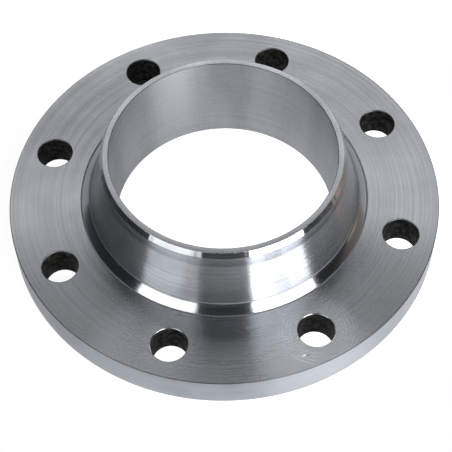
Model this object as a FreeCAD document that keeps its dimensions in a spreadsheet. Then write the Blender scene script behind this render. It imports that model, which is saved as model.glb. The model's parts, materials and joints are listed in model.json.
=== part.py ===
# Welding neck pipe flange, turned and drilled from one steel forging.
# The plate has eight bolt holes. A tapered hub runs from it to a short pipe stub, whose end is bevelled
# for a butt weld. Millimetres, with the origin at the middle of the raised sealing face and +Z towards
# the weld end.

import FreeCAD, Part
import Sketcher
import math
import os

# Driving dimensions: alias, value and meaning. Those across the flange run outwards from the bore.
SIZES = [
    ("bore_diameter", "147", "inside of the pipe, straight all the way through"),
    ("pipe_wall", "6", "wall of the stub and of the pipe that is welded to it"),
    ("taper_flare", "11", "how far the taper leans out from the stub to the plate"),
    ("hub_fillet", "7", "radius between the taper and the plate"),
    ("spanner_room", "29.5", "from the foot of the taper out to the bolt circle"),
    ("rim_width", "22.5", "from the bolt circle out to the rim"),
    ("bolt_hole_diameter", "23", "clearance hole for an M20 bolt"),
    ("bolt_hole_count", "8", "evenly spaced, either side of the main axes"),
    ("sealing_margin", "2.5", "from the edge of the sealing face out to the bolt holes"),
    ("raised_face_height", "2", "step from the plate down to the sealing face"),
    ("plate_thickness", "23", "plate alone, without the raised face"),
    ("overall_height", "70", "from the sealing face to the weld end"),
    ("stub_length", "12", "from the top of the taper to the weld end"),
    ("land_width", "3.75", "flat ring left at the weld end"),
    ("bevel_angle", "30", "degrees between the weld bevel and the pipe's axis"),
    ("edge_break", "0.5", "45 degree break on the rim and on the bolt holes"),
]

# Radii and heights that follow from them
PLACES = [
    ("bore_radius", "Sizes.bore_diameter / 2"),
    ("land_radius", "bore_radius + Sizes.land_width"),
    ("stub_radius", "bore_radius + Sizes.pipe_wall"),
    ("hub_radius", "stub_radius + Sizes.taper_flare"),
    ("bolt_radius", "hub_radius + Sizes.spanner_room"),
    ("rim_radius", "bolt_radius + Sizes.rim_width"),
    ("hole_radius", "Sizes.bolt_hole_diameter / 2"),
    ("sealing_radius", "bolt_radius - hole_radius - Sizes.sealing_margin"),
    ("back_height", "Sizes.raised_face_height + Sizes.plate_thickness"),
]

SKETCH_ORIGIN = (-1, 1)
SKETCH_X_AXIS = -1
TOLERANCE = 1e-4


def size_sheets(doc):
    """Sheet of the driving dimensions, and sheet of the places worked out from them."""
    sizes = doc.addObject("Spreadsheet::Sheet", "Sizes")
    for row, (alias, value, meaning) in enumerate(SIZES, start=1):
        sizes.set(f"A{row}", alias)
        sizes.set(f"B{row}", value)
        sizes.set(f"C{row}", meaning)
        sizes.setAlias(f"B{row}", alias)
    doc.recompute()
    places = doc.addObject("Spreadsheet::Sheet", "Places")
    for row, (alias, formula) in enumerate(PLACES, start=1):
        places.set(f"A{row}", alias)
        places.set(f"B{row}", f"={formula}")
        places.setAlias(f"B{row}", alias)
    doc.recompute()
    return sizes, places


def upright_sketch(body, name):
    """Sketch on the body's XZ plane, so that its y is the height."""
    plane = next(face for face in body.Origin.OriginFeatures if face.Role == "XZ_Plane")
    sketch = body.newObject("Sketcher::SketchObject", name)
    sketch.AttachmentSupport = [(plane, "")]
    sketch.MapMode = "FlatFace"
    return sketch


def draw_outline(sketch, corners, flat, upright):
    """Closed outline of straight lines. Line n runs from corner n to the next one."""
    points = [FreeCAD.Vector(x, y, 0) for x, y in corners]
    last = len(points) - 1
    for start, end in zip(points, points[1:] + points[:1]):
        sketch.addGeometry(Part.LineSegment(start, end), False)
    for line in range(last):
        sketch.addConstraint(Sketcher.Constraint("Coincident", line, 2, line + 1, 1))
    sketch.addConstraint(Sketcher.Constraint("Coincident", last, 2, 0, 1))
    for line in flat:
        sketch.addConstraint(Sketcher.Constraint("Horizontal", line))
    for line in upright:
        sketch.addConstraint(Sketcher.Constraint("Vertical", line))


def dimension(sketch, name, kind, *where, to):
    """Named dimension of the sketch, tied to an expression on the sheets."""
    value = sketch.evalExpression(to)
    index = sketch.addConstraint(Sketcher.Constraint(kind, *where, value))
    sketch.renameConstraint(index, name)
    sketch.setExpression(f"Constraints.{name}", to)


def turned_section(body, sizes, places):
    """Half section of what the lathe turns: sealing face, rim, back, taper, stub, weld bevel and bore."""
    under_height = sizes.raised_face_height
    end_height = sizes.overall_height
    bevel_width = places.stub_radius - places.land_radius
    bevel_height = bevel_width / math.tan(math.radians(sizes.bevel_angle))

    sketch = upright_sketch(body, "TurnedSection")
    corners = [
        (places.bore_radius, 0),
        (places.sealing_radius, 0),
        (places.sealing_radius, under_height),
        (places.rim_radius, under_height),
        (places.rim_radius, places.back_height),
        (places.hub_radius, places.back_height),
        (places.stub_radius, end_height - sizes.stub_length),
        (places.stub_radius, end_height - bevel_height),
        (places.land_radius, end_height),
        (places.bore_radius, end_height),
    ]
    face, step, under, edge, back, taper, pipe, bevel, end, wall = range(len(corners))
    draw_outline(sketch, corners, flat=(face, under, back, end), upright=(step, edge, pipe, wall))
    sketch.addConstraint(Sketcher.Constraint("PointOnObject", face, 1, SKETCH_X_AXIS))

    radii = [
        ("BoreRadius", face, "Places.bore_radius"),
        ("SealingRadius", step, "Places.sealing_radius"),
        ("RimRadius", edge, "Places.rim_radius"),
        ("HubRadius", taper, "Places.hub_radius"),
        ("StubRadius", pipe, "Places.stub_radius"),
        ("LandRadius", end, "Places.land_radius"),
    ]
    for name, line, radius in radii:
        dimension(sketch, name, "DistanceX", *SKETCH_ORIGIN, line, 1, to=radius)
    dimension(sketch, "FaceStep", "DistanceY", step, 1, step, 2, to="Sizes.raised_face_height")
    dimension(sketch, "PlateThickness", "DistanceY", edge, 1, edge, 2, to="Sizes.plate_thickness")
    dimension(sketch, "StubLength", "DistanceY", pipe, 1, end, 1, to="Sizes.stub_length")
    dimension(sketch, "Height", "DistanceY", *SKETCH_ORIGIN, end, 2, to="Sizes.overall_height")
    dimension(sketch, "BevelTilt", "Angle", bevel, to="90 deg + Sizes.bevel_angle * 1 deg")
    return sketch


def bolt_hole_section(body, sizes, places):
    """Half section of the first bolt hole about its own axis, with a break at both faces of the plate."""
    hole = places.hole_radius
    cut = sizes.edge_break
    under = sizes.raised_face_height
    back = places.back_height

    sketch = upright_sketch(body, "BoltHoleSection")
    corners = [
        (0, 0),
        (hole + cut, 0),
        (hole + cut, under),
        (hole, under + cut),
        (hole, back - cut),
        (hole + cut, back),
        (0, back),
    ]
    foot, clearance, lower_break, wall, upper_break, top, centre = range(len(corners))
    draw_outline(sketch, corners, flat=(foot, top), upright=(clearance, wall, centre))
    sketch.addConstraint(Sketcher.Constraint("Coincident", foot, 1, *SKETCH_ORIGIN))

    dimension(sketch, "HoleRadius", "DistanceX", *SKETCH_ORIGIN, wall, 1, to="Places.hole_radius")
    dimension(sketch, "UnderHeight", "DistanceY", clearance, 1, clearance, 2, to="Sizes.raised_face_height")
    dimension(sketch, "BackHeight", "DistanceY", *SKETCH_ORIGIN, top, 1, to="Places.back_height")
    dimension(sketch, "LowerBreakWidth", "DistanceX", lower_break, 2, lower_break, 1, to="Sizes.edge_break")
    dimension(sketch, "LowerBreakHeight", "DistanceY", lower_break, 1, lower_break, 2, to="Sizes.edge_break")
    dimension(sketch, "UpperBreakWidth", "DistanceX", upper_break, 1, upper_break, 2, to="Sizes.edge_break")
    dimension(sketch, "UpperBreakHeight", "DistanceY", upper_break, 1, upper_break, 2, to="Sizes.edge_break")

    # The sketch's vertical axis stands on the centre line of the first hole, half a pitch from +X
    half_pitch = "180 deg / Sizes.bolt_hole_count"
    sketch.setExpression("AttachmentOffset.Base.x", f"Places.bolt_radius * cos({half_pitch})")
    sketch.setExpression("AttachmentOffset.Base.z", f"-Places.bolt_radius * sin({half_pitch})")
    return sketch


def circles_at(feature, radius, *heights):
    """Names of the feature's circular edges that have this radius at one of these heights."""
    names = []
    for number, edge in enumerate(feature.Shape.Edges, start=1):
        circle = edge.Curve
        if not isinstance(circle, Part.Circle) or abs(circle.Radius - radius) > TOLERANCE:
            continue
        if any(abs(circle.Center.z - height) < TOLERANCE for height in heights):
            names.append(f"Edge{number}")
    return names


def turn(body, sizes, places):
    """Turned blank: the revolved section, its hub fillet and the broken edges of the rim."""
    section = turned_section(body, sizes, places)
    blank = body.newObject("PartDesign::Revolution", "TurnedBlank")
    blank.Profile = section
    blank.ReferenceAxis = (section, ["V_Axis"])
    blank.Angle = 360
    body.Document.recompute()

    back = places.back_height
    fillet = body.newObject("PartDesign::Fillet", "HubFillet")
    fillet.Base = (blank, circles_at(blank, places.hub_radius, back))
    fillet.setExpression("Radius", "Sizes.hub_fillet")
    body.Document.recompute()

    breaks = body.newObject("PartDesign::Chamfer", "RimBreaks")
    breaks.Base = (fillet, circles_at(fillet, places.rim_radius, sizes.raised_face_height, back))
    breaks.setExpression("Size", "Sizes.edge_break")
    body.Document.recompute()
    return section


def drill(body, sizes, places, section):
    """Bolt holes: one hole cut about its own axis and repeated about the axis of the turned section."""
    hole_section = bolt_hole_section(body, sizes, places)
    hole = body.newObject("PartDesign::Groove", "BoltHole")
    hole.Profile = hole_section
    hole.ReferenceAxis = (hole_section, ["V_Axis"])
    hole.Angle = 360
    body.Document.recompute()

    holes = body.newObject("PartDesign::PolarPattern", "BoltHoles")
    holes.Originals = [hole]
    holes.Axis = (section, ["V_Axis"])
    holes.Angle = 360
    holes.setExpression("Occurrences", "Sizes.bolt_hole_count")
    body.Tip = holes
    body.Document.recompute()


def check(doc, body, sizes, places):
    """Stops the build if a feature failed, the solid is not sound or a hole cut too little."""
    for item in doc.Objects:
        if {"Invalid", "Error"} & set(item.State):
            raise RuntimeError(f"{item.Name} failed: {item.State}")
    solid = body.Shape
    if solid.isNull() or not solid.isValid() or len(solid.Solids) != 1:
        raise RuntimeError("the flange is not one valid solid")
    hole_volume = math.pi * places.hole_radius**2 * sizes.plate_thickness
    drilled = doc.getObject("RimBreaks").Shape.Volume - solid.Volume
    if drilled < sizes.bolt_hole_count * hole_volume:
        raise RuntimeError("the bolt holes don't all go through the plate")


doc = FreeCAD.newDocument("WeldingNeckFlange")
sizes, places = size_sheets(doc)
flange = doc.addObject("PartDesign::Body", "Flange")
flange.Label = "flange"
section = turn(flange, sizes, places)
drill(flange, sizes, places, section)
check(doc, flange, sizes, places)

os.makedirs("parts", exist_ok=True)
flange.Shape.exportStep(f"parts/{flange.Label}.step")
print(f"{flange.Label}: {flange.Shape.Volume / 1000:.1f} cm3")
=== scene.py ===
import json
import math

import bmesh
import bpy
from mathutils import Matrix, Vector, noise


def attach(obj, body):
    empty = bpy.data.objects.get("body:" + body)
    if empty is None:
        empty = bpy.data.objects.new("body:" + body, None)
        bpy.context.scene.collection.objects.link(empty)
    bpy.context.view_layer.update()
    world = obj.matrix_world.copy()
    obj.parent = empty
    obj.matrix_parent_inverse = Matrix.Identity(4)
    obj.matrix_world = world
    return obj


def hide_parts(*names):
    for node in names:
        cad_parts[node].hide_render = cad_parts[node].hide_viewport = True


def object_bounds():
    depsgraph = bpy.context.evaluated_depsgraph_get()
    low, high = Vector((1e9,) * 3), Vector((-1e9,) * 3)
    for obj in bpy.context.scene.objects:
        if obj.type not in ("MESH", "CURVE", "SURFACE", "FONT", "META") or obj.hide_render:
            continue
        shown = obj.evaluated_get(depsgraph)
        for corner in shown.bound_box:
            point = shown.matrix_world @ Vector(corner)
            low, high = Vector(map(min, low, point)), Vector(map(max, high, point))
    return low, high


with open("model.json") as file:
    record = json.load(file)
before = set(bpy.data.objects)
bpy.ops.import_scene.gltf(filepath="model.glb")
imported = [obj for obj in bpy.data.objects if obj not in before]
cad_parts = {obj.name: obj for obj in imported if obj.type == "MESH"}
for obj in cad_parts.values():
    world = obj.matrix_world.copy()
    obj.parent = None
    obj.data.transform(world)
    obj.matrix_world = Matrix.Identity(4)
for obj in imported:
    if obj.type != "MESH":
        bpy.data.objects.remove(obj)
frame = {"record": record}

cad_low, cad_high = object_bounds()

# The forging
# One piece of steel, turned all over on a lathe: the plate with its raised sealing face, the tapered hub
# and the short pipe stub, whose end is bevelled for the weld. Its half section is spun round the bore.
mm = 0.001
mounts = {mount["name"]: mount for mount in frame["record"]["mounts"]}
bore_radius = mounts["bore"]["dims"]["r_mm"] * mm
rim_radius = cad_high.x
end_height = cad_high.z
back_height = mounts["back_face"]["pos_m"][2]
face_step = 2 * mm
face_radius = 106 * mm
pipe_wall = 6 * mm
taper_flare = 11 * mm
land_width = 3.75 * mm
stub_length = 12 * mm
bevel_angle = math.radians(30)
stub_radius = bore_radius + pipe_wall
hub_radius = stub_radius + taper_flare
land_radius = bore_radius + land_width
taper_top = end_height - stub_length
bevel_foot = end_height - (stub_radius - land_radius) / math.tan(bevel_angle)
bore_edge = 0.4 * mm
rim_edge = 0.5 * mm
steps_round = 360

# The fillet starts with a burr on the cone, curves out, runs straight and ends in a shallow tool mark.
burr_height = 4.6 * mm
burr_thickness = 0.5 * mm
burr_crest = 0.2 * mm
fillet_radius = 5 * mm
fillet_steps = 10
run_tilt = math.radians(56)
tool_mark_depth = 0.35 * mm
tool_mark_width = 0.9 * mm
cone_tilt = math.atan(taper_flare / (taper_top - back_height))
burr_foot = hub_radius - burr_height * math.tan(cone_tilt)


def fillet_point(tilt):
    """Corner of the half section on the fillet's arc, where the steel leans by this much from upright."""
    return (burr_foot + fillet_radius * (math.cos(cone_tilt) - math.cos(tilt)),
            back_height + burr_height - fillet_radius * (math.sin(tilt) - math.sin(cone_tilt)), 0, 0)


tilt_step = (cone_tilt - run_tilt) / fillet_steps
arc = [fillet_point(run_tilt + tilt_step * step) for step in range(fillet_steps + 1)]
arc_foot_radius, arc_foot_height = arc[0][:2]
run_end = arc_foot_radius + (arc_foot_height - back_height + tool_mark_depth) * math.tan(run_tilt)

section = [
    # radius, height, how far the corner's rounding reaches, steps in the rounding
    (bore_radius, 0, bore_edge, 2),
    (face_radius, 0, 0.3 * mm, 2),
    (face_radius, face_step, 0.2 * mm, 2),
    (rim_radius, face_step, rim_edge, 2),
    (rim_radius, back_height, rim_edge, 2),
    (run_end + tool_mark_width, back_height, 0.2 * mm, 2),
    (run_end, back_height - tool_mark_depth, 0, 0),
    *arc,
    (burr_foot + burr_crest, back_height + burr_height + burr_crest, 0.1 * mm, 2),
    (burr_foot - burr_thickness * math.tan(cone_tilt), back_height + burr_height + burr_thickness, 0, 0),
    (stub_radius, taper_top, 1.2 * mm, 4),
    (stub_radius, bevel_foot, 0.6 * mm, 4),
    (land_radius, end_height, 0.15 * mm, 2),
    (bore_radius, end_height, bore_edge, 2),
]


def turned(section, steps):
    """Solid of revolution about Z, with every corner of its half section rounded."""
    solid = bmesh.new()
    corners = [solid.verts.new((radius, 0, height)) for radius, height, reach, parts in section]
    for start, end in zip(corners, corners[1:] + corners[:1]):
        solid.edges.new((start, end))
    for corner, (radius, height, reach, parts) in zip(corners, section):
        if reach:
            bmesh.ops.bevel(solid, geom=[corner], offset=reach, offset_type="OFFSET", segments=parts,
                            profile=0.5, affect="VERTICES", material=-1)
    bmesh.ops.spin(solid, geom=solid.verts[:] + solid.edges[:], cent=(0, 0, 0), axis=(0, 0, 1),
                   dvec=(0, 0, 0), angle=2 * math.pi, steps=steps, use_merge=True, use_duplicate=False)
    bmesh.ops.recalc_face_normals(solid, faces=solid.faces)
    return solid


def as_object(solid, name):
    """Object that holds the bmesh, linked to the scene."""
    mesh = bpy.data.meshes.new(name)
    solid.to_mesh(mesh)
    solid.free()
    made = bpy.data.objects.new(name, mesh)
    bpy.context.scene.collection.objects.link(made)
    return made


forging = turned(section, steps_round)

# The weld end was filed by hand, so it wavers a little in radius, and the bevel's foot in height too.
filed_foot = bevel_foot - 0.7 * mm
land_foot = end_height - 0.5 * mm
waver_out = 0.12 * mm
waver_up = 0.25 * mm
slow_waver = 9
quick_waver = 30
waver_climb = 300
for vert in forging.verts:
    if vert.co.z > filed_foot:
        outward = Vector((vert.co.x, vert.co.y, 0)).normalized()
        slow = noise.noise(outward * slow_waver + Vector((0, 0, vert.co.z * waver_climb)))
        waver = slow + noise.noise(outward * quick_waver) / 2
        if vert.co.z < land_foot:
            vert.co.z += waver_up * waver
        vert.co += outward * waver_out * waver
flange = as_object(forging, "flange_steel")

# The bolt holes
# Eight plain clearance holes, drilled through the plate and evenly spaced. A countersink broke their lower
# edges, and their upper lips are rounded. A drill with that profile is cut out of the plate at each place.
pattern = mounts["bolt_holes"]
hole_count = pattern["dims"]["count"]
hole_radius = pattern["dims"]["hole_r_mm"] * mm
bolt_radius = pattern["dims"]["pcd_mm"] * mm / 2
hole_spacing = 2 * math.pi / hole_count
edge_break = 0.5 * mm
lip_radius = 0.8 * mm
lip_points = 6
lip_tilt = math.radians(15)
lip_runout = 1 * mm
lip_rise = 0.3 * mm
drill_past = 3 * mm
drill_steps = 96


def on_bolt_circle(bearing, height=0):
    """Place on the bolt circle, at this bearing from +X and this height."""
    return Vector((bolt_radius * math.cos(bearing), bolt_radius * math.sin(bearing), height))


drill_section = [
    (0, face_step - drill_past, 0, 0),
    (hole_radius + edge_break + drill_past, face_step - drill_past, 0, 0),
    (hole_radius, face_step + edge_break, 0.15 * mm, 2),
]
for point in range(lip_points):
    tilt = point * lip_tilt
    drill_section.append((hole_radius + lip_radius * (1 - math.cos(tilt)),
                          back_height - lip_radius * (1 - math.sin(tilt)), 0, 0))
drill_section += [
    (hole_radius + lip_radius + lip_runout, back_height + lip_rise, 0, 0),
    (hole_radius + lip_radius + lip_runout, back_height + drill_past, 0, 0),
    (0, back_height + drill_past, 0, 0),
]
drills = bmesh.new()
for number in range(hole_count):
    drill = turned(drill_section, drill_steps)
    bmesh.ops.remove_doubles(drill, verts=drill.verts, dist=1e-6)
    bmesh.ops.recalc_face_normals(drill, faces=drill.faces)
    bmesh.ops.translate(drill, verts=drill.verts, vec=on_bolt_circle((number + 0.5) * hole_spacing))
    one_drill = bpy.data.meshes.new("one_drill")
    drill.to_mesh(one_drill)
    drill.free()
    drills.from_mesh(one_drill)
    bpy.data.meshes.remove(one_drill)
drills = as_object(drills, "drills")

boring = flange.modifiers.new("boring", "BOOLEAN")
boring.operation = "DIFFERENCE"
boring.solver = "EXACT"
boring.object = drills
shading = flange.modifiers.new("shading", "WEIGHTED_NORMAL")
shading.mode = "FACE_AREA"
shading.weight = 50
for polygon in flange.data.polygons:
    polygon.use_smooth = True
finished = bpy.data.meshes.new_from_object(flange.evaluated_get(bpy.context.evaluated_depsgraph_get()))
flange.modifiers.clear()
flange.data = finished
bpy.data.objects.remove(drills)

# The finishes
# Every surface is the same bare steel. Much of what differs is how the lathe tool, the drill, the
# countersink or the file left it: how bright and rough it is, and how deep its turning marks are. The rest
# is painted shade: the neck and the stub darken towards their feet, the drilled walls are near black,
# and a dark edge finish lies on the bore's top edge and on the hole lips that do not glint.
# Shared by all are the marks' spacing, how soon a mark changes along its run, the scales of the clouds and
# the specks, and the stretch of their sum that the tones span.
mark_spacing = 1.1 * mm
mark_run = (0.8, 0.8, 0.8)
cloud_scale = 40
speck_scale = 700
tone_low = 0.35
tone_high = 0.65


def add(tree, kind, inputs=(), **settings):
    """Node of this kind, each of its inputs linked to an output or set to a value."""
    made = tree.nodes.new("ShaderNode" + kind)
    for name, value in settings.items():
        setattr(made, name, value)
    for socket, value in dict(inputs).items():
        if isinstance(value, bpy.types.NodeSocket):
            tree.links.new(value, made.inputs[socket])
        else:
            made.inputs[socket].default_value = value
    return made


def value_of(tree, operation, *values):
    """Result of a Math node on these values."""
    return add(tree, "Math", dict(enumerate(values)), operation=operation).outputs[0]


def span(tree, value, low, high, start, end):
    """The value, carried smoothly from the range low to high to the range start to end."""
    return add(tree, "MapRange", {"Value": value, "From Min": low, "From Max": high, "To Min": start,
                                  "To Max": end}, interpolation_type="SMOOTHSTEP").outputs["Result"]


def total(tree, *parts):
    """Sum of some values, each with its share."""
    result = 0.0
    for value, share in parts:
        result = value_of(tree, "MULTIPLY_ADD", value, share, result)
    return result


def steel(name, dull, bright, roughness, grain, depth, cast=(0.963, 1, 1.067), metal=1.0, gloss=0.5,
          shares=(0.5, 0.4, 0.1), cloud_shape=(1, 1, 1), painted_shade=(0, 1, 1), grazing=1.0):
    """Bare steel that wanders between a dull, rough tone and a bright, smooth one, by the shares of its
    turning marks, clouds and specks.

    The marks have this depth, and the grain stretches highlights across them. Cast is the steel's tint,
    and cloud_shape packs the clouds closer along an axis. The painted shade gives a height where the tone
    is painted darker as shade, the height above which it no longer is, and how dark. Below 1, grazing dulls
    what is seen edge on."""
    made = bpy.data.materials.new(name)
    made.use_nodes = True
    tree = made.node_tree
    place = add(tree, "TexCoord").outputs["Object"]
    flat = add(tree, "VectorMath", {0: place, 1: (1, 1, 0)}, operation="MULTIPLY").outputs["Vector"]
    radius = add(tree, "VectorMath", {0: flat}, operation="LENGTH").outputs["Value"]
    bearing = add(tree, "VectorMath", {0: flat}, operation="NORMALIZE").outputs["Vector"]
    height = add(tree, "SeparateXYZ", {0: place}).outputs["Z"]
    across = value_of(tree, "SUBTRACT", radius, height)
    rings = add(tree, "CombineXYZ", {"Z": value_of(tree, "MULTIPLY", across, 1 / mark_spacing)}).outputs[0]
    winding = add(tree, "VectorMath", {0: bearing, 1: mark_run, 2: rings},
                  operation="MULTIPLY_ADD").outputs["Vector"]
    packed = add(tree, "VectorMath", {0: place, 1: cloud_shape}, operation="MULTIPLY").outputs["Vector"]
    marks = add(tree, "TexNoise", {"Vector": winding, "Scale": 1, "Detail": 2, "Roughness": 0.6})
    clouds = add(tree, "TexNoise", {"Vector": packed, "Scale": cloud_scale, "Detail": 3, "Roughness": 0.5})
    specks = add(tree, "TexNoise", {"Vector": place, "Scale": speck_scale, "Detail": 2})
    patterns = [texture.outputs["Fac"] for texture in (marks, clouds, specks)]
    tone = total(tree, *zip(patterns, shares))
    ramp = add(tree, "ValToRGB", {"Fac": tone})
    for stop, position, level in zip(ramp.color_ramp.elements, (tone_low, tone_high), (dull, bright)):
        stop.position = position
        stop.color = (level * cast[0], level * cast[1], level * cast[2], 1)
    # Painted shade: the tone is scaled down towards the given height.
    painted_shade_low, painted_shade_high, share = painted_shade
    tint = add(tree, "VectorMath", {0: ramp.outputs["Color"],
                                    "Scale": span(tree, height, painted_shade_low, painted_shade_high, share, 1)},
               operation="SCALE").outputs["Vector"]
    cut = add(tree, "Bump", {"Height": patterns[0], "Strength": 1, "Distance": depth})
    tangent = add(tree, "Tangent", direction_type="RADIAL", axis="Z")
    shader = tree.nodes["Principled BSDF"]
    shader.inputs["Metallic"].default_value = metal
    shader.inputs["Specular IOR Level"].default_value = gloss
    shader.inputs["Specular Tint"].default_value = (grazing, grazing, grazing, 1)
    shader.inputs["Anisotropic"].default_value = grain
    shader.inputs["Anisotropic Rotation"].default_value = 0.25
    tree.links.new(tint, shader.inputs["Base Color"])
    tree.links.new(span(tree, tone, tone_low, tone_high, *roughness), shader.inputs["Roughness"])
    tree.links.new(cut.outputs["Normal"], shader.inputs["Normal"])
    tree.links.new(tangent.outputs["Tangent"], shader.inputs["Tangent"])
    return made


finishes = {
    # name, dull and bright tone, the roughness of each, grain, depth of the marks, and what else differs
    "plate": steel("faced_plate", 0.485, 0.625, (0.278, 0.248), 1.0, 0.0025 * mm, shares=(0.6, 0.35, 0.05)),
    # The neck and the stub are painted darker towards their feet, as painted shade.
    "neck": steel("turned_neck", 0.39, 0.69, (0.25, 0.21), 1.0, 0.003 * mm, metal=0.88,
                  painted_shade=(back_height, taper_top - 6 * mm, 0.6)),
    "stub": steel("turned_stub", 0.40, 0.67, (0.25, 0.21), 1.0, 0.003 * mm, metal=0.88,
                  painted_shade=(taper_top + 3 * mm, bevel_foot - 0.5 * mm, 0.78)),
    "smooth": steel("formed_edges", 0.55, 0.66, (0.19, 0.16), 1.0, 0.0006 * mm),
    "chamfer": steel("hole_edges", 0.42, 0.56, (0.21, 0.18), 0.3, 0.001 * mm),
    "burr": steel("burr", 0.16, 0.26, (0.6, 0.5), 0.3, 0.001 * mm, metal=0.7),
    "rim": steel("turned_rim", 0.32, 0.40, (0.36, 0.30), 0.86, 0.003 * mm, cast=(0.943, 1, 1.106),
                 grazing=0.78),
    "edge": steel("broken_edge", 0.10, 0.16, (0.5, 0.4), 0.3, 0.001 * mm),
    "land": steel("weld_land", 0.44, 0.66, (0.30, 0.24), 0.3, 0.004 * mm, shares=(0.2, 0.5, 0.3)),
    "bore": steel("bore_wall", 0.23, 0.33, (0.49, 0.45), 0.8, 0.002 * mm, shares=(0.3, 0.5, 0.3),
                  cloud_shape=(1, 1, 0.2), grazing=0.7),
    "face": steel("sealing_face", 0.42, 0.56, (0.34, 0.28), 1.0, 0.03 * mm),
    # The drilled walls are painted near black, as painted shade inside the holes.
    "hole": steel("drilled_wall", 0.0005, 0.036, (0.6, 0.45), 0.2, 0.02 * mm, cast=(1.03, 1, 0.90),
                  metal=0, gloss=0.03, shares=(0.1, 0.65, 0.1), cloud_shape=(7, 7, 7)),
}


def wear(material):
    """Faint rings and a paler disc that a spot facing tool left round one hole, and a nick beside it."""
    worn_hole = on_bolt_circle(math.radians(-67.5), back_height)
    ring_spacing = 2.4 * mm
    ring_waver = 5
    ring_start = (13 * mm, 17 * mm)
    ring_end = (24 * mm, 27 * mm)
    disc_end = (21 * mm, 28 * mm)
    patch_scale = 90
    scuff_colour = (0.90, 0.95, 1, 1)
    nick_radius = 133.3 * mm
    nick_bearing = math.radians(-73.9)
    nick_turn = math.radians(70)
    nick_size = (6 * mm, 2.3 * mm)
    nick_depth = 0.5 * mm
    tree = material.node_tree
    place = add(tree, "TexCoord").outputs["Object"]
    away = add(tree, "VectorMath", {0: place, 1: worn_hole}, operation="DISTANCE").outputs["Value"]
    coarse = add(tree, "TexNoise", {"Vector": place, "Scale": patch_scale, "Detail": 2}).outputs["Fac"]
    turns = value_of(tree, "SINE", total(tree, (away, 2 * math.pi / ring_spacing), (coarse, ring_waver)))
    inside = value_of(tree, "MULTIPLY", span(tree, away, *ring_start, 0, 1),
                      span(tree, away, *ring_end, 1, 0))
    patchy = value_of(tree, "MULTIPLY", inside, span(tree, coarse, 0.4, 0.6, 0.2, 1))
    rings = value_of(tree, "MULTIPLY", span(tree, turns, 0.1, 1, 0, 0.6), patchy)
    disc = span(tree, away, *disc_end, 0.10, 0)
    centre = (nick_radius * math.cos(nick_bearing), nick_radius * math.sin(nick_bearing), back_height)
    near = add(tree, "Mapping", {"Vector": place, "Location": centre,
                                 "Rotation": (0, 0, nick_bearing + nick_turn),
                                 "Scale": (nick_size[0] / 2, nick_size[1] / 2, 1)},
               vector_type="TEXTURE").outputs["Vector"]
    from_nick = add(tree, "VectorMath", {0: near}, operation="LENGTH").outputs["Value"]
    nick = span(tree, from_nick, 0, 1, 0.8, 0)
    scuffs = value_of(tree, "MAXIMUM", total(tree, (rings, 0.5), (disc, 1)), nick)
    shader = tree.nodes["Principled BSDF"]
    tint = shader.inputs["Base Color"].links[0].from_socket
    scuffed = add(tree, "MixRGB", {"Fac": scuffs, "Color1": tint, "Color2": scuff_colour})
    tree.links.new(scuffed.outputs["Color"], shader.inputs["Base Color"])
    marked = shader.inputs["Normal"].links[0].from_socket
    dented = add(tree, "Bump", {"Height": nick, "Strength": 1, "Distance": nick_depth, "Normal": marked},
                 invert=True)
    tree.links.new(dented.outputs["Normal"], shader.inputs["Normal"])


wear(finishes["plate"])

# A face's centre may lie this far from the corner that it belongs to.
slack = 0.1 * mm


def finish_at(centre, normal):
    """Finish of the face with this centre and normal, by the cut that made it."""
    radius = math.hypot(centre.x, centre.y)
    outward = (normal.x * centre.x + normal.y * centre.y) / radius
    bearing = (math.floor(math.atan2(centre.y, centre.x) / hole_spacing) + 0.5) * hole_spacing
    hole = on_bolt_circle(bearing)
    from_hole = math.hypot(centre.x - hole.x, centre.y - hole.y)
    above_burr = centre.z - back_height - burr_height
    # The bore and the rim
    # The bore's top edge gets the dark edge finish, a painted shadow line between the land and the bore.
    if radius < bore_radius + bore_edge and centre.z > end_height - bore_edge - slack and outward < -0.3:
        return "edge"
    if radius < bore_radius + bore_edge - slack and outward < 0:
        return "bore"
    if radius > rim_radius - rim_edge - slack:
        return "edge" if normal.z > 0.2 and centre.z < back_height - slack / 10 else "rim"
    # The hub, from the weld end down to the tool mark
    if centre.z > end_height - 2 * slack:
        return "land"
    if centre.z > bevel_foot:
        return "smooth"
    if centre.z > taper_top:
        return "stub"
    if above_burr > burr_thickness - slack / 2:
        return "neck"
    if above_burr > 0 and radius > burr_foot - 3 * slack:
        return "burr"
    if radius < run_end and normal.z > 0:
        return "smooth"
    if radius < run_end + tool_mark_width + slack and normal.z > 0:
        return "burr"
    # The plate. Only the outer rows of the two front holes' lips get bright steel, which glints; the rest
    # of those lips and the lips of the other holes get the dark edge finish, as painted shade.
    if abs(normal.z) < 0.3:
        return "hole"
    if from_hole < hole_radius + lip_radius and abs(normal.z) < 0.99:
        return "chamfer" if centre.y < -0.7 * bolt_radius and normal.z > 0.7 else "edge"
    if normal.z < -0.5 and radius < face_radius:
        return "face"
    return "plate"


for material in finishes.values():
    flange.data.materials.append(material)
order = list(finishes)
for polygon in flange.data.polygons:
    polygon.material_index = order.index(finish_at(polygon.center, polygon.normal))

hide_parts("flange")
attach(flange, "root")

# The studio
# A white floor and background, and a dome of cards round the flange: two tall softboxes either side of
# the camera, with black flags beside them, as steel is photographed. The camera doesn't see the cards.
camera_heading = -95
dome_radius = 6
groove_lean = 0.63
card_steps = 32


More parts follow.
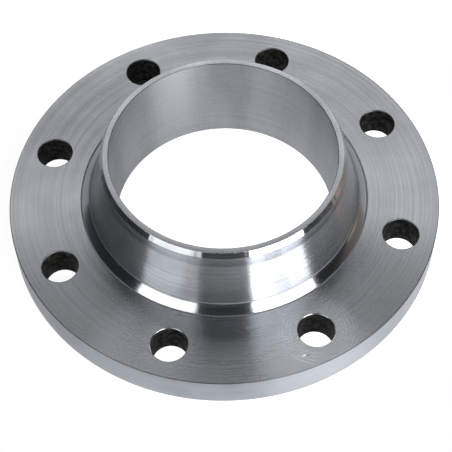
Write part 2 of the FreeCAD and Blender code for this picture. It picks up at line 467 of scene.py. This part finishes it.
def glow(name, colour, strengths, climb):
    """Light whose strength changes along the card through these values, and from low to high by climb."""
    made = bpy.data.materials.new(name)
    made.use_nodes = True
    tree = made.node_tree
    tree.nodes.remove(tree.nodes["Principled BSDF"])
    sheet = add(tree, "SeparateXYZ", {0: add(tree, "UVMap").outputs["UV"]})
    ramp = add(tree, "ValToRGB", {"Fac": sheet.outputs["X"]})
    stops = ramp.color_ramp.elements
    while len(stops) < len(strengths):
        stops.new(0.5)
    for number, strength in enumerate(strengths):
        stops[number].position = number / (len(strengths) - 1)
        stops[number].color = (strength, strength, strength, 1)
    level = add(tree, "SeparateColor", {0: ramp.outputs["Color"]}).outputs["Red"]
    raised = value_of(tree, "MULTIPLY", level, span(tree, sheet.outputs["Y"], 0, 1, *climb))
    emission = add(tree, "Emission", {"Color": (*colour, 1), "Strength": raised})
    tree.links.new(emission.outputs[0], tree.nodes["Material Output"].inputs["Surface"])
    return made


def card(name, start, end, low, high, strengths, colour=(1, 1, 1), leaning=False, away=1.0, climb=(1, 1)):
    """Card on the dome between two bearings from the camera, in degrees. It reaches from the low elevation
    up to the two high ones, at its start and at its end. A leaning card follows the lines of the dome that
    the plate's grooves mirror. Away puts it in front of other cards, or behind them."""
    sheet = bmesh.new()
    sheet.loops.layers.uv.new()
    bmesh.ops.create_grid(sheet, x_segments=card_steps, y_segments=card_steps, size=1, calc_uvs=True)
    for vert in sheet.verts:
        part = (vert.co.x + 1) / 2
        across = math.radians(start + (end - start) * part)
        top = high[0] + (high[1] - high[0]) * part
        up = math.radians(low + (top - low) * (vert.co.y + 1) / 2)
        bearing = math.radians(camera_heading) + across
        if leaning:
            bearing += math.asin(max(-1, min(1, groove_lean * math.sin(across) / math.cos(up))))
        level = Vector((math.cos(bearing), math.sin(bearing), 0)) * math.cos(up)
        vert.co = away * dome_radius * (level + Vector((0, 0, math.sin(up))))
    made = as_object(sheet, name)
    made.data.materials.append(glow(name, colour, strengths, climb))
    made.visible_camera = False


# The softboxes make the plate's bright sectors. Their feet light the hub, and a flag dims the left foot.
card("softbox_left", -35.7, -11.8, 20, (58, 67), (2.5, 2.3, 2.3), leaning=True, climb=(0.75, 1.1))
card("softbox_left_foot", -35.7, -11.8, -12, (20, 20), (2.0, 2.3, 1.8, 2.0), leaning=True,
     climb=(0.28, 1.6))
card("flag_foot", -20.5, -11, -13, (1, 1), (0.7, 0.25, 0.25), leaning=True, away=0.98)
card("softbox_right", 10.4, 36.4, 20, (67, 55), (5.6, 4.8, 4.0), leaning=True, climb=(1.35, 0.85))
card("softbox_right_foot", 10.4, 36.4, -12, (20, 20), (4.6, 5.4), leaning=True, climb=(0.95, 1.6))

# In front all else is dark: the slit between the softboxes, the flag behind them, a board's edge at the
# right and the table's dull top below.
card("table", -120, 93, -35, (-15, -15), (0.06, 0.09, 0.16, 0.22, 0.28, 0.28), away=1.04)
card("slit", -40, 40, -35, (40, 40), (0.066, 0.066), away=1.05)
card("board_edge", 56, 93, -12, (8, 8), (0.02, 0.045, 0.11), colour=(1, 0.93, 0.88), away=1.08)
card("flag_front", -120, 93, -35, (57, 57), (0.02, 0.02), away=1.1)

# Brown boards on the right give the hub its brown tints.
card("board_light", 93, 107, -35, (0, 0), (1, 1), colour=(0.42, 0.32, 0.26), away=1.05)
card("board_right", 93, 118, -35, (16, 16), (1.2, 1.6, 0.7, 0.6), colour=(0.42, 0.31, 0.235), away=1.1)
card("board_top", 93, 118, 16, (57, 57), (1, 1), colour=(0.14, 0.12, 0.105), away=1.1)

# The wall, a softbox behind and a dim ceiling light the bore and the back of the plate.
card("wall_back", 118, 240, -45, (25, 25), (0.30, 0.46, 0.45, 0.28), away=1.1)
card("softbox_back", 118, 240, 25, (55, 55), (0.5, 1.0, 1.25, 0.62, 0.35), away=1.1)
card("ceiling", 0, 360, 55, (90, 90), (0.045, 0.045), away=1.12)

# The floor is white paper that glows, and more so on the right. A painted shadow darkens it just behind
# the hole at the upper left, through which the camera would otherwise see a white sliver.
floor_radius = 0.19
paper_grey = (0.12, 0.12, 0.12)
glow_reach = 0.15
glow_left = 0.92
glow_right = 1.5
painted_shadow_centre = on_bolt_circle(math.radians(112.5)) + Vector((0, 13.5 * mm, 0))
painted_shadow_radius = 7.5 * mm
painted_shadow_fade = 1 * mm
painted_shadow_level = 0.01
floor = bmesh.new()
bmesh.ops.create_circle(floor, cap_ends=True, segments=96, radius=floor_radius)
floor = as_object(floor, "floor")
paper = bpy.data.materials.new("paper")
paper.use_nodes = True
tree = paper.node_tree
place = add(tree, "TexCoord").outputs["Object"]
side = add(tree, "SeparateXYZ", {0: place}).outputs["X"]
# Painted shadow: the paper's grey and glow fall nearly to nothing in a spot behind that hole.
from_painted_shadow = add(tree, "VectorMath", {0: place, 1: painted_shadow_centre}, operation="DISTANCE").outputs["Value"]
lit = span(tree, from_painted_shadow, painted_shadow_radius, painted_shadow_radius + painted_shadow_fade, painted_shadow_level, 1)
shine = value_of(tree, "MULTIPLY", span(tree, side, -glow_reach, glow_reach, glow_left, glow_right), lit)
tint = add(tree, "VectorMath", {0: paper_grey, "Scale": lit}, operation="SCALE").outputs["Vector"]
shader = tree.nodes["Principled BSDF"]
shader.inputs["Roughness"].default_value = 1
shader.inputs["Specular IOR Level"].default_value = 0
shader.inputs["Emission Color"].default_value = (1, 1, 1, 1)
tree.links.new(tint, shader.inputs["Base Color"])
tree.links.new(shine, shader.inputs["Emission Strength"])
floor.data.materials.append(paper)

# The background is plain white, and the cards hide nearly all of it from the steel.
world = bpy.data.worlds.new("studio")
bpy.context.scene.world = world
world.use_nodes = True
background = world.node_tree.nodes["Background"]
background.inputs["Color"].default_value = (1, 1, 1, 1)
background.inputs["Strength"].default_value = 1

# The camera
# It stands in front of the flange and a little to the left, and looks down on it, rolled by about a degree.
# Its place and angles make the rim, the holes and the bore fall where the photograph has them.
camera_elevation = 55.387
camera_distance = 0.9113
camera_turn = -5.092
camera_pitch = 55.980
camera_roll = -1.179
orbit_height = 2 * mm
bpy.context.scene.view_settings.view_transform = "Standard"
camera = bpy.data.objects.new("camera", bpy.data.cameras.new("camera"))
bpy.context.scene.collection.objects.link(camera)
bpy.context.scene.camera = camera
camera.data.sensor_width = 36
camera.data.lens = 106.75
heading = math.radians(camera_heading)
elevation = math.radians(camera_elevation)
towards = Vector((math.cos(heading) * math.cos(elevation), math.sin(heading) * math.cos(elevation),
                  math.sin(elevation)))
camera.location = towards * camera_distance + Vector((0, 0, orbit_height))
camera.rotation_euler = (Matrix.Rotation(math.radians(camera_turn), 3, "Z")
                         @ Matrix.Rotation(math.radians(90 - camera_pitch), 3, "X")
                         @ Matrix.Rotation(math.radians(camera_roll), 3, "Z")).to_euler()
